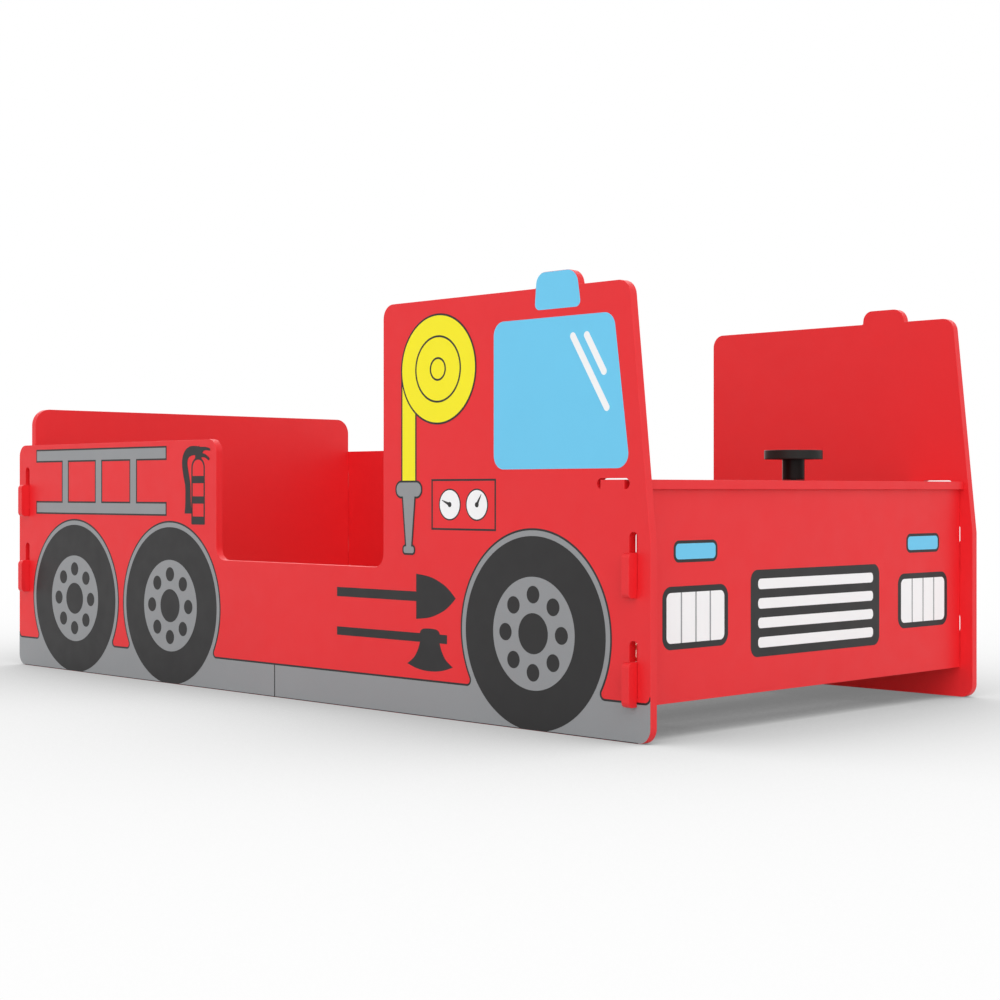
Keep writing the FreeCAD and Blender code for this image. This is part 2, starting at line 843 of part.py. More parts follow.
def steering_bolt():
    """Pan head bolt, from the well in the hub down through the nut."""
    head = cell("bolt_head") / 2
    under_head = wheel_foot + cell("hub_floor")
    foot = nut_top - cell("nut_height") - cell("bolt_tail")
    body = turned_body("steering_bolt", [
        (ZERO, foot - under_head),
        (bolt_radius, foot - under_head),
        (bolt_radius, ZERO),
        (head, ZERO),
        (head, cell("bolt_head_height")),
        (ZERO, cell("bolt_head_height")),
    ])
    round_edges(
        body, "head_edge", cell("hub_round"), lambda edge: ring_at(edge, cell("bolt_head_height"), head)
    )
    place(body, shelf_middle, ZERO, under_head)
    return body


def hub_cap():
    """Snap-in cap: a crowned disc over the hub, with a skirt in the seat of its well."""
    radius = cell("cap_diameter") / 2
    skirt = radius - cell("cap_rim") - cell("running_play")
    skirt_inner = cell("bolt_head") / 2 + cell("bolt_play")
    body = turned_body("hub_cap", [
        (ZERO, ZERO),
        (skirt_inner, ZERO),
        (skirt_inner, -cell("cap_skirt")),
        (skirt, -cell("cap_skirt")),
        (skirt, ZERO),
        (radius, ZERO),
        (radius, cell("cap_crown")),
        (ZERO, cell("cap_crown")),
    ])
    crown_edge = cell("cap_crown") * cell("cap_round_share")
    round_edges(body, "crown", crown_edge, lambda edge: ring_at(edge, cell("cap_crown"), radius))
    place(body, shelf_middle, ZERO, wheel_foot + cell("hub_height"))
    return body


def steering_washer():
    body = turned_body("steering_washer", [
        (shank_hole, ZERO),
        (cell("washer_diameter") / 2, ZERO),
        (cell("washer_diameter") / 2, cell("washer_thickness")),
        (shank_hole, cell("washer_thickness")),
    ])
    place(body, shelf_middle, ZERO, nut_top)
    return body


def steering_nut():
    """Hexagon lock nut under the washer."""
    block = document.addObject("Part::Prism", "steering_nut_block")
    block.Polygon = 6
    bind(block, "Circumradius", cell("nut_width") / math.sqrt(3))
    bind(block, "Height", cell("nut_height"))
    hole = document.addObject("Part::Cylinder", "steering_nut_hole")
    bind(hole, "Radius", shank_hole)
    bind(hole, "Height", cell("nut_height"))
    nut = document.addObject("Part::Cut", "steering_nut")
    nut.Label = "steering_nut"
    nut.Base = block
    nut.Tool = hole
    place(nut, shelf_middle, ZERO, nut_top - cell("nut_height"))
    return nut


# The whole bed
pieces = [
    side_panel("right_side_panel", -1),
    side_panel("left_side_panel", 1),
    front_board(),
    headboard(),
    dash_shelf(),
]
for hand, outward in (("right", -1), ("left", 1)):
    rail = bearer_rail(f"{hand}_bearer_rail", outward)
    drill_rail(rail, outward)
    pieces.append(rail)
    pieces.append(rail_screws(f"{hand}_rail_screws", outward))
    pieces.append(slat_tape(f"{hand}_slat_tape", outward))
pieces += [slat(index) for index in range(SLAT_COUNT)]
pieces.append(slat_screws("slat_screws"))
pieces += [
    steering_bush(),
    steering_column(),
    steering_wheel(),
    hub_cap(),
    steering_bolt(),
    steering_washer(),
    steering_nut(),
]
document.recompute()

for item in document.Objects:
    if "Invalid" in item.State or "Error" in item.State:
        raise RuntimeError(f"{item.Label} failed: {item.State}")
for piece in pieces:
    if piece.Shape.isNull() or not piece.Shape.isValid():
        raise RuntimeError(f"{piece.Label} has no valid shape")

os.makedirs("parts", exist_ok=True)
for piece in pieces:
    piece.Shape.exportStep(f"parts/{piece.Label}.step")
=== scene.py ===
import json
import math

import bmesh
import bpy
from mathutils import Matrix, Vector
from mathutils.geometry import tessellate_polygon


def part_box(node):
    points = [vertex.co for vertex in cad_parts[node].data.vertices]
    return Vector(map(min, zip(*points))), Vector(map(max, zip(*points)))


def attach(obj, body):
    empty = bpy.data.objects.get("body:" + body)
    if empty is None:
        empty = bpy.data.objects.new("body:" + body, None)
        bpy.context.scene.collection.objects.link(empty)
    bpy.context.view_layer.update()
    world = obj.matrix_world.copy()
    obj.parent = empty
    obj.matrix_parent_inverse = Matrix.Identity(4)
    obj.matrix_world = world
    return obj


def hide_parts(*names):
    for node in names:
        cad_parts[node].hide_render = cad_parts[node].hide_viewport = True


# Looks of the fire engine bed: lacquer, printed sides and front, wood, webbing and a white studio.
# Prints are drawn in millimetres on their board: across from the rear end (or from the front's middle), up
# from the floor. They are thin closed plates of ink that lie on the board in layers.

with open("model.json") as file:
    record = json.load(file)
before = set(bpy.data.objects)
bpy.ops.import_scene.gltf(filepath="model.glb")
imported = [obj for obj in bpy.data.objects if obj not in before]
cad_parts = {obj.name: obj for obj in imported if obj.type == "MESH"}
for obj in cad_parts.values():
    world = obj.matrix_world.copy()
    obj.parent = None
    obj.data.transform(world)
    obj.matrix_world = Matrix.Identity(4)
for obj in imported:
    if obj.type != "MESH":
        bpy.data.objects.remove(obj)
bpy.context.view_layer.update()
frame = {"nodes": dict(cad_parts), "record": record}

MM = 0.001
BED = "bed_frame"

right_low, right_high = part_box("right_side_panel")
left_low, left_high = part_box("left_side_panel")
front_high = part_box("front_panel")[1]
SIDE_LENGTH = (right_high.x - right_low.x) / MM
SIDE_TOP = right_high.z / MM

# Corners of the boards, and how far the ink stays inside their eased edges
CORNER_RADIUS = 20.0
INK_MARGIN = 0.35

# Ink: height of one layer, and how deep a plate is sunk into what it lies on
INK = 0.12
INK_ROOT = 0.05

# Outlines: how far a chord may stray from its arc, the steps of a smooth line between points, and how many
# times its offset a sharp corner may move
CHORD_ERROR = 0.02
CURVE_STEPS = 8
CORNER_LIMIT = 5.0


# Materials
def feed(tree, socket, value):
    """Links an input to another socket, or sets it to a plain value."""
    if isinstance(value, bpy.types.NodeSocket):
        tree.links.new(value, socket)
    else:
        socket.default_value = value


def node_maker(tree):
    """A function that adds a node to the tree, with its inputs linked to sockets or set to values."""
    def node(kind, inputs=None, **settings):
        made = tree.nodes.new(kind)
        for key, value in settings.items():
            setattr(made, key, value)
        for key, value in (inputs or {}).items():
            feed(tree, made.inputs[key], value)
        return made

    return node


def new_material(name):
    """A new material, a maker of its nodes, and a function that feeds an input of its Principled shader."""
    material = bpy.data.materials.new(name)
    material.use_nodes = True
    tree = material.node_tree
    shader = tree.nodes["Principled BSDF"]

    def surface(key, value):
        feed(tree, shader.inputs[key], value)

    return material, node_maker(tree), surface


def object_place(node):
    """Object coordinates, in metres."""
    return node("ShaderNodeTexCoord").outputs["Object"]


def noise(node, scale, detail=2.0, roughness=0.5, place=None):
    """Noise from 0 to 1, with the scale in cells per metre."""
    place = place or object_place(node)
    inputs = {"Vector": place, "Scale": scale, "Detail": detail, "Roughness": roughness}
    return node("ShaderNodeTexNoise", inputs).outputs["Fac"]


def spread(node, source, low, high, source_low=0.3, source_high=0.7):
    """A value from low to high as the source goes through its range."""
    inputs = {0: source, 1: source_low, 2: source_high, 3: low, 4: high}
    return node("ShaderNodeMapRange", inputs).outputs["Result"]


def uneven(node, source, middle, reach):
    """A value that strays from its middle by a reach to both sides."""
    return spread(node, source, middle - reach, middle + reach)


def calculate(node, operation, *values):
    return node("ShaderNodeMath", dict(enumerate(values)), operation=operation).outputs["Value"]


def two_tone(node, factor, at_zero, at_one):
    """A colour that goes from one to another with the factor."""
    inputs = {0: factor, 6: (*at_zero, 1.0), 7: (*at_one, 1.0)}
    return node("ShaderNodeMix", inputs, data_type="RGBA").outputs[2]


def mottled(node, factor, colour, share):
    """A colour that strays to darker and lighter by a share of itself."""
    darker = [channel * (1 - share) for channel in colour]
    lighter = [channel * (1 + share) for channel in colour]
    return two_tone(node, factor, darker, lighter)


def bump(node, height, strength, depth):
    """A normal from a height from 0 to 1, with its depth in millimetres."""
    inputs = {"Height": height, "Strength": strength, "Distance": depth * MM}
    return node("ShaderNodeBump", inputs).outputs["Normal"]


def lacquer(name, colour, roughness, peel):
    """Sprayed lacquer or cured ink: faint mottling, uneven gloss and a fine orange peel."""
    material, node, surface = new_material(name)
    surface("Base Color", mottled(node, noise(node, scale=9.0, detail=3.0), colour, share=0.03))
    surface("Roughness", uneven(node, noise(node, scale=34.0, detail=4.0), roughness, reach=0.04))
    surface("Normal", bump(node, noise(node, scale=620.0), strength=peel, depth=0.05))
    return material


# Growth rings of pine: the heart of the log lies under each board and wanders as it runs along
RING_SPACING = 5.2
RING_WAVER = 1.6
LATE_WOOD_RISE = (0.3, 0.92)
LATE_WOOD_FALL = (0.94, 1.0)
HEART_DEPTHS = (6.0, 44.0)
HEART_SWAY = 26.0
HEART_RUN = 700.0
BOARD_STRETCH = 3700.0

# Places along the heart's noise, in metres, that give its sway and its depth each a wandering of its own
SWAY_PLACE = 0.0
DEPTH_PLACE = 3700.0

# Fibres are drawn out along the grain to this share of their density across it
FIBRE_STRETCH = 0.07
EARLY_WOOD = (0.76, 0.56, 0.33)
LATE_WOOD = (0.57, 0.345, 0.160)


def heart_noise(node, run, offset):
    """A slow wandering along a log, from 0 to 1; other offsets give other wanderings."""
    place = calculate(node, "ADD", run, offset)
    inputs = {"W": place, "Scale": 1.0 / (HEART_RUN * MM), "Detail": 2.0}
    return node("ShaderNodeTexNoise", inputs, noise_dimensions="1D").outputs["Fac"]


def growth_rings(node, along, first, second, fibres):
    """Late wood of the rings, from 0 to 1, in a row of boards; first and second are nodes side by side."""
    middles = [(low + high) / 2 for low, high in (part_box(first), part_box(second))]
    sideways = 1 - along
    pitch = abs(middles[1][sideways] - middles[0][sideways])
    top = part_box(first)[1].z
    place = node("ShaderNodeSeparateXYZ", {0: object_place(node)}).outputs
    row = calculate(node, "SUBTRACT", place[sideways], middles[0][sideways])
    board = calculate(node, "ROUND", calculate(node, "DIVIDE", row, pitch))
    run = calculate(node, "MULTIPLY_ADD", board, BOARD_STRETCH * MM, place[along])
    sway = uneven(node, heart_noise(node, run, SWAY_PLACE), 0.0, HEART_SWAY * MM)
    across = calculate(node, "ADD", calculate(node, "WRAP", row, pitch / 2, -pitch / 2), sway)
    lifts = [depth * MM - top for depth in HEART_DEPTHS]
    lift = spread(node, heart_noise(node, run, DEPTH_PLACE), *lifts)
    above = calculate(node, "ADD", place["Z"], lift)
    reach = node("ShaderNodeCombineXYZ", {"X": across, "Y": above}).outputs["Vector"]
    radius = node("ShaderNodeVectorMath", {0: reach}, operation="LENGTH").outputs["Value"]
    waver = uneven(node, noise(node, scale=60.0, detail=3.0, place=fibres), 0.0, RING_WAVER * MM)
    rings = calculate(node, "DIVIDE", calculate(node, "ADD", radius, waver), RING_SPACING * MM)
    ring = calculate(node, "FRACT", rings)
    rise = spread(node, ring, 0.0, 1.0, *LATE_WOOD_RISE)
    fall = spread(node, ring, 1.0, 0.0, *LATE_WOOD_FALL)
    return calculate(node, "MULTIPLY", rise, fall)


def pine(name, along, first, second):
    """Planed pine with grain along one axis, 0 for X and 1 for Y, on the boards of a row."""
    material, node, surface = new_material(name)
    stretch = [1.0, 1.0, 1.0]
    stretch[along] = FIBRE_STRETCH
    fibres = node("ShaderNodeMapping", {"Vector": object_place(node), "Scale": stretch}).outputs["Vector"]
    fibre = noise(node, scale=900.0, place=fibres)
    late = growth_rings(node, along, first, second, fibres)
    wood = two_tone(node, late, EARLY_WOOD, LATE_WOOD)
    pores = spread(node, fibre, low=0.84, high=1.06)
    tinted = node("ShaderNodeMix", {0: 1.0, 6: wood, 7: pores}, data_type="RGBA", blend_type="MULTIPLY")
    surface("Base Color", tinted.outputs[2])
    surface("Roughness", spread(node, fibre, low=0.5, high=0.66))
    surface("Normal", bump(node, fibre, strength=0.35, depth=0.1))
    return material


def moulded_plastic(name, colour, roughness, shine):
    """Injection-moulded plastic with a fine spark-eroded grain."""
    material, node, surface = new_material(name)
    surface("Base Color", mottled(node, noise(node, scale=60.0, detail=3.0), colour, share=0.15))
    surface("Roughness", uneven(node, noise(node, scale=240.0, detail=3.0), roughness, reach=0.05))
    surface("Normal", bump(node, noise(node, scale=2600.0, detail=1.0), strength=0.12, depth=0.05))
    surface("Specular IOR Level", shine)
    return material


def zinc(name):
    """Zinc-plated steel with a crystalline cloud in its gloss."""
    material, node, surface = new_material(name)
    cloud = noise(node, scale=420.0, detail=4.0, roughness=0.6)
    surface("Base Color", two_tone(node, cloud, at_zero=(0.55, 0.56, 0.58), at_one=(0.74, 0.74, 0.73)))
    surface("Metallic", 1.0)
    surface("Roughness", spread(node, cloud, low=0.26, high=0.42))
    surface("Normal", bump(node, noise(node, scale=1500.0), strength=0.15, depth=0.05))
    return material


# Weave of the webbing: the pitch of its threads, and a wave texture's radians in a unit at a scale of 1
WEAVE_PITCH = 1.6
WAVE_RADIANS = 20.0


def woven_tape(name):
    """Polypropylene webbing: warp ribs along X crossed by weft, in a plain weave."""
    material, node, surface = new_material(name)
    place = object_place(node)
    threads = 1.0 / (WEAVE_PITCH * MM)
    checks = node("ShaderNodeTexChecker", {"Vector": place, "Scale": threads}).outputs["Fac"]
    wave = {"Vector": place, "Scale": threads * math.pi / WAVE_RADIANS}
    warp = node("ShaderNodeTexWave", wave, bands_direction="Y").outputs["Fac"]
    weft = node("ShaderNodeTexWave", wave, bands_direction="X").outputs["Fac"]
    weave = node("ShaderNodeMix", {0: checks, 2: warp, 3: weft}, data_type="FLOAT").outputs[0]
    surface("Base Color", two_tone(node, weave, at_zero=(0.50, 0.48, 0.42), at_one=(0.76, 0.74, 0.67)))
    surface("Roughness", spread(node, noise(node, scale=300.0), low=0.55, high=0.72))
    surface("Normal", bump(node, weave, strength=0.6, depth=0.2))
    return material


# Finishes by material slot, and the nodes that have one of their own
INK_ROUGHNESS = 0.50
INK_PEEL = 0.08
INK_COLOURS = {
    "dark": (0.0065, 0.0055, 0.0060),
    "grey": (0.276, 0.284, 0.294),
    "blue": (0.148, 0.586, 0.868),
    "yellow": (0.940, 0.836, 0.0030),
    "white": (0.925, 0.925, 0.930),
}
FINISHES = {
    "red_board": lacquer("red_lacquer", (0.79, 0.0120, 0.0180), roughness=0.50, peel=0.10),
    "black_plastic": moulded_plastic("black_plastic", (0.0180, 0.0182, 0.0170), roughness=0.46, shine=0.12),
    "pine": pine("pine_slat", along=1, first="slat_01", second="slat_02"),
    "webbing": woven_tape("webbing_tape"),
    "zinc_steel": zinc("zinc_plate"),
}
for ink, colour in INK_COLOURS.items():
    FINISHES[f"print_{ink}"] = lacquer(f"ink_{ink}", colour, INK_ROUGHNESS, INK_PEEL)
RAIL_PINE = pine("pine_rail", along=0, first="right_bearer_rail", second="left_bearer_rail")
# The steering column gets a darker copy of the black plastic: painted shade for the shade under the steering
# wheel
SHADED_COLUMN_PLASTIC = moulded_plastic("column_plastic_painted_shade", (0.0085, 0.0062, 0.0060), roughness=0.34, shine=0.08)
NODE_FINISHES = {
    "right_bearer_rail": RAIL_PINE,
    "left_bearer_rail": RAIL_PINE,
    "steering_column": SHADED_COLUMN_PLASTIC,
}


def dress_nodes():
    """Gives every CAD node its own finish, or else the finish of its material slot."""
    for row in frame["record"]["subparts"]:
        node = frame["nodes"][row["node"]]
        finish = NODE_FINISHES.get(row["node"], FINISHES[row["material_slot"]])
        if not node.material_slots:
            node.data.materials.append(finish)
        for holder in node.material_slots:
            holder.material = finish


# Outlines in millimetres
def arc(centre, radius, start, end):
    """Points of an arc from one angle to another, in degrees."""
    step = 2 * math.acos(1 - CHORD_ERROR / radius)
    count = max(2, math.ceil(abs(math.radians(end - start)) / step))
    turns = [math.radians(start + (end - start) * index / count) for index in range(count + 1)]
    return [(centre[0] + radius * math.cos(turn), centre[1] + radius * math.sin(turn)) for turn in turns]


def disc(centre, radius):
    return arc(centre, radius, 0, 360)[:-1]


def rounded(corners):
    """A closed outline through corners (across, up, radius), anticlockwise, each rounded by its radius."""
    loop = []
    for index, (across, up, radius) in enumerate(corners):
        corner = Vector((across, up))
        if radius == 0:
            loop.append((across, up))
            continue
        back = (Vector(corners[index - 1][:2]) - corner).normalized()
        onward = (Vector(corners[(index + 1) % len(corners)][:2]) - corner).normalized()
        half = back.angle(onward) / 2
        centre = corner + (back + onward).normalized() * (radius / math.sin(half))
        first = corner + back * (radius / math.tan(half)) - centre
        last = corner + onward * (radius / math.tan(half)) - centre
        start = math.degrees(math.atan2(first.y, first.x))
        sweep = math.degrees(math.atan2(last.y, last.x)) - start
        sweep = (sweep + 180) % 360 - 180
        loop += arc(centre, radius, start, start + sweep)
    return loop


def box(left, bottom, right, top, radius=0.0):
    corners = ((left, bottom), (right, bottom), (right, top), (left, top))
    return rounded([(*corner, radius) for corner in corners])


def inset(loop, distance):
    """The outline moved inwards by a distance, or outwards by a negative one."""
    moved = []
    for index, point in enumerate(loop):
        before = (Vector(point) - Vector(loop[index - 1])).normalized()
        after = (Vector(loop[(index + 1) % len(loop)]) - Vector(point)).normalized()
        normal = Vector((-before.y - after.y, before.x + after.x)).normalized()
        reach = distance / max(normal.dot(Vector((-before.y, before.x))), 1 / CORNER_LIMIT)
        moved.append((point[0] + normal.x * reach, point[1] + normal.y * reach))
    return moved


def blend(before, start, end, after, share):
    """A value on a smooth curve from start to end, which heeds the values before and after them."""
    bend = 2 * before - 5 * start + 4 * end - after
    twist = 3 * start - before - 3 * end + after
    return 0.5 * (2 * start + (end - before) * share + bend * share ** 2 + twist * share ** 3)


def smooth(points):
    """A smooth open line through the points, each with any number of values."""
    padded = [points[0], *points, points[-1]]
    line = []
    for before, start, end, after in zip(padded, padded[1:], padded[2:], padded[3:]):
        for index in range(CURVE_STEPS):
            share = index / CURVE_STEPS
            line.append(tuple(blend(*values, share) for values in zip(before, start, end, after)))
    line.append(tuple(points[-1]))
    return line


def stroke(points):
    """The outline of a brush line with round ends through points (across, up, width)."""
    line = smooth(points)
    left = []
    right = []
    for index, (across, up, width) in enumerate(line):
        before = line[max(index - 1, 0)]
        after = line[min(index + 1, len(line) - 1)]
        run = Vector((after[0] - before[0], after[1] - before[1])).normalized()
        left.append((across - run.y * width / 2, up + run.x * width / 2))
        right.append((across + run.y * width / 2, up - run.x * width / 2))

    def cap(end, inner):
        heading = math.degrees(math.atan2(end[1] - inner[1], end[0] - inner[0]))
        return arc(end[:2], end[2] / 2, heading - 90, heading + 90)[1:-1]

    return right + cap(line[-1], line[-2]) + left[::-1] + cap(line[0], line[1])


# Walls that carry a print: from across, up and height over the face, in millimetres, to a place in metres
def right_wall(across, up, height):
    return Vector((right_low.x + across * MM, right_low.y - height * MM, up * MM))


def left_wall(across, up, height):
    return Vector((left_low.x + across * MM, left_high.y + height * MM, up * MM))


def front_wall(across, up, height):
    return Vector((front_high.x + height * MM, across * MM, up * MM))


def add_object(name, data):
    made = bpy.data.objects.new(name, data)
    bpy.context.scene.collection.objects.link(made)
    return made


def add_piece(name, mesh, slot):
    """Turns a finished bmesh into a piece that rides on the bed's frame."""
    bmesh.ops.recalc_face_normals(mesh, faces=mesh.faces)
    data = bpy.data.meshes.new(name)
    mesh.to_mesh(data)
    mesh.free()
    data.materials.append(FINISHES[slot])
    piece = add_object(name, data)
    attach(piece, BED)
    return piece


def plate(name, slot, wall, layer, *shapes):
    """Ink in one colour and one layer. Each shape is its outline, or a list of its outline and its holes."""
    top = layer * INK
    bottom = top - INK - INK_ROOT
    mesh = bmesh.new()
    for shape in shapes:
        loops = shape if isinstance(shape[0], list) else [shape]
        points = [point for loop in loops for point in loop]
        upper = [mesh.verts.new(wall(across, up, top)) for across, up in points]
        lower = [mesh.verts.new(wall(across, up, bottom)) for across, up in points]
        for corners in tessellate_polygon([[Vector((*point, 0)) for point in loop] for loop in loops]):
            mesh.faces.new([upper[corner] for corner in corners])
            mesh.faces.new([lower[corner] for corner in corners[::-1]])
        bmesh.ops.beautify_fill(mesh, faces=mesh.faces, edges=mesh.edges)
        first = 0
        for loop in loops:
            for index in range(len(loop)):
                here = first + index
                after = first + (index + 1) % len(loop)
                mesh.faces.new((upper[here], upper[after], lower[after], lower[here]))
            first += len(loop)
    return add_piece(name, mesh, slot)


# Print of a side: skirt and wheels
SKIRT_TOP = 48.75
SKIRT_LINE = 2.75
SKIRT_SEAM = 2.0
# Painted shade: a thin dark ink line along the skirt's foot stands for the shadow under the board's eased
# bottom edge
SKIRT_SHADE_LINE = 1.0
SKIRT_SHADE_LAYER = 2.6
SKIRT_FILLET = 8.5
SKIRT_CURL = 10.4
SKIRT_CURL_PLACE = 9.5
ARCH_RADIUS = 135.0
WHEEL_PLACES = (185.9, 473.9, 1298.6)
WHEEL_RISE = 126.45
TYRE_RADIUS = 127.5
HUB_RADIUS = 74.3
HUB_CENTRE = 26.85
HUB_HOLES = 8
HUB_HOLE_RADIUS = 11.5
HUB_HOLE_REACH = 51.0


def skirt_outline(offset):
    """The skirt with its arches over the wheels, grown by an offset. Its top curls up at both ends."""
    low = CORNER_RADIUS - INK_MARGIN
    rear = (CORNER_RADIUS, CORNER_RADIUS)
    front = (SIDE_LENGTH - CORNER_RADIUS, CORNER_RADIUS)
    ridge = skirt_curl(offset)
    fillet = SKIRT_FILLET - offset
    middle = SKIRT_TOP + SKIRT_FILLET
    for place in WHEEL_PLACES:
        drop = WHEEL_RISE - middle
        reach = math.sqrt((ARCH_RADIUS + SKIRT_FILLET) ** 2 - drop ** 2)
        tilt = math.degrees(math.atan2(drop, reach))
        ridge += arc((place - reach, middle), fillet, -90, tilt)
        ridge += arc((place, WHEEL_RISE), ARCH_RADIUS + offset, 180 + tilt, -tilt)[1:-1]
        ridge += arc((place + reach, middle), fillet, 180 - tilt, 270)
    ridge += [(SIDE_LENGTH - across, up) for across, up in skirt_curl(offset)[::-1]]
    return arc(rear, low, 180, 270) + arc(front, low, 270, 360) + ridge[::-1]


def skirt_curl(offset):
    """The curl at the rear end, from the board's edge to where the top runs level."""
    radius = SKIRT_CURL - offset
    room = SKIRT_CURL_PLACE - INK_MARGIN
    middle = SKIRT_TOP + SKIRT_CURL
    if radius < room:
        return [(INK_MARGIN, middle), *arc((SKIRT_CURL_PLACE, middle), radius, 180, 270)]
    start = math.degrees(math.acos(room / radius))
    return arc((SKIRT_CURL_PLACE, middle), radius, 180 + start, 270)


def skirt(hand, wall):
    plate(f"{hand}_skirt_line", "print_dark", wall, 1, skirt_outline(SKIRT_LINE))
    plate(f"{hand}_skirt", "print_grey", wall, 2, skirt_outline(0))
    seam = SIDE_LENGTH / 2
    foot = INK_MARGIN + SKIRT_SHADE_LINE
    plate(f"{hand}_skirt_seam", "print_dark", wall, 3,
          box(seam - SKIRT_SEAM / 2, foot, seam + SKIRT_SEAM / 2, SKIRT_TOP))
    # Painted shade, not print: a dark line along the foot for the shadow gap under the eased bottom edge
    plate(f"{hand}_skirt_foot_painted_shade", "print_dark", wall, SKIRT_SHADE_LAYER,
          box(CORNER_RADIUS, INK_MARGIN, SIDE_LENGTH - CORNER_RADIUS, foot))


def wheel(hand, wall, number, place):
    centre = (place, WHEEL_RISE)
    foot = math.degrees(math.acos((WHEEL_RISE - INK_MARGIN) / TYRE_RADIUS))
    tyre = arc(centre, TYRE_RADIUS, -90 + foot, 270 - foot)
    plate(f"{hand}_wheel_{number}_tyre", "print_dark", wall, 3, tyre)
    plate(f"{hand}_wheel_{number}_hub", "print_grey", wall, 4, disc(centre, HUB_RADIUS))
    marks = [disc(centre, HUB_CENTRE)]
    for index in range(HUB_HOLES):
        turn = math.tau * index / HUB_HOLES
        hole = (place + HUB_HOLE_REACH * math.sin(turn), WHEEL_RISE + HUB_HOLE_REACH * math.cos(turn))
        marks.append(disc(hole, HUB_HOLE_RADIUS))
    plate(f"{hand}_wheel_{number}_holes", "print_dark", wall, 5, *marks)


# Print of a side: ladder and extinguisher
LADDER_LEFT = 58.0
LADDER_RIGHT = 463.8
LADDER_RAILS = ((272.05, 294.85), (363.15, 386.2))
LADDER_RUNGS = (154.9, 261.15, 366.6)
LADDER_RUNG_WIDTH = 22.5
LADDER_LINE = 2.8


def ladder(hand, wall):
    (foot, low), (high, head) = LADDER_RAILS
    half = LADDER_RUNG_WIDTH / 2
    first = LADDER_RUNGS[0] - half
    last = LADDER_RUNGS[-1] + half
    outer = [
        (LADDER_LEFT, foot), (LADDER_RIGHT, foot), (LADDER_RIGHT, low), (last, low), (last, high),
        (LADDER_RIGHT, high), (LADDER_RIGHT, head), (LADDER_LEFT, head), (LADDER_LEFT, high), (first, high),
        (first, low), (LADDER_LEFT, low),
    ]
    gaps = [box(near + half, low, far - half, high) for near, far in zip(LADDER_RUNGS, LADDER_RUNGS[1:])]
    line = LADDER_LINE
    plate(f"{hand}_ladder_line", "print_dark", wall, 1, [outer, *gaps])
    plate(f"{hand}_ladder", "print_grey", wall, 2, [inset(outer, line), *[inset(gap, -line) for gap in gaps]])


BOTTLE_LEFT = 532.9
BOTTLE_RIGHT = 569.6
BOTTLE_FOOT = 259.0
BOTTLE_TOP = 366.4
BOTTLE_CORNER = 2.0
BOTTLE_DOME = 17.0
BOTTLE_LINE = 3.5
BOTTLE_FIELDS = ((272.0, 292.5), (304.2, 325.1), (336.7, 362.6))
BOTTLE_HOSE = (
    (548.0, 377.2, 14.5), (531.0, 376.6, 15.5), (519.4, 370.6, 15.2), (514.7, 358.0, 14.8),
    (518.1, 340.0, 15.2), (523.1, 322.0, 14.4), (523.8, 300.0, 14.7), (524.0, 290.0, 15.9),
)
BOTTLE_MOUTH = ((517.0, 292.0), (514.5, 276.5), (534.5, 276.5), (531.5, 292.0))
BOTTLE_HEAD = ((549.5, 376.5, 14.5), (556.0, 375.8, 18.5), (561.0, 378.0, 10.0))
BOTTLE_NECK = (543.3, 364.0, 560.6, 372.0)
BOTTLE_NECK_LAYER = 1.5
BOTTLE_LEVERS = (
    ((558.0, 379.0, 8.0), (572.0, 380.0, 5.2), (582.3, 378.5, 4.0)),
    ((556.0, 370.3, 7.6), (570.0, 368.6, 5.6), (580.2, 363.6, 4.6)),
)


def extinguisher(hand, wall):
    body = rounded([
        (BOTTLE_LEFT, BOTTLE_FOOT, BOTTLE_CORNER), (BOTTLE_RIGHT, BOTTLE_FOOT, BOTTLE_CORNER),
        (BOTTLE_RIGHT, BOTTLE_TOP, BOTTLE_DOME), (BOTTLE_LEFT, BOTTLE_TOP, BOTTLE_DOME),
    ])
    left = BOTTLE_LEFT + BOTTLE_LINE
    right = BOTTLE_RIGHT - BOTTLE_LINE
    fields = [box(left, foot, right, top) for foot, top in BOTTLE_FIELDS[:-1]]
    foot, top = BOTTLE_FIELDS[-1]
    dome = BOTTLE_DOME - BOTTLE_LINE
    fields.append(rounded([(left, foot, 0), (right, foot, 0), (right, top, dome), (left, top, dome)]))
    plate(f"{hand}_extinguisher", "print_dark", wall, 1, [body, *fields])
    plate(f"{hand}_extinguisher_hose", "print_dark", wall, 2, stroke(BOTTLE_HOSE))
    plate(f"{hand}_extinguisher_mouth", "print_dark", wall, 3, list(BOTTLE_MOUTH))
    plate(f"{hand}_extinguisher_head", "print_dark", wall, 3, stroke(BOTTLE_HEAD))
    plate(f"{hand}_extinguisher_neck", "print_dark", wall, BOTTLE_NECK_LAYER, box(*BOTTLE_NECK))
    plate(f"{hand}_extinguisher_levers", "print_dark", wall, 4, *[stroke(lever) for lever in BOTTLE_LEVERS])


# Print of a side: hose reel with its hanging hose and nozzle
REEL_CENTRE = (1115.4, 480.7)
REEL_RADIUS = 76.4
REEL_RINGS = (45.0, 15.0)
REEL_LINE = 2.7
HOSE_LEFT = 1039.2
HOSE_RIGHT = 1071.25
HOSE_END = 322.0
HOSE_LINE = 2.8
NOZZLE_MIDDLE = 1055.2
NOZZLE_COLLAR = (28.2, 302.3, 327.3, 12.0)
NOZZLE_TIP = (13.4, 223.2, 237.8, 6.2)
NOZZLE_TAPER = ((7.3, 230.0), (15.2, 310.0))
NOZZLE_TAPER_LIFT = 0.3


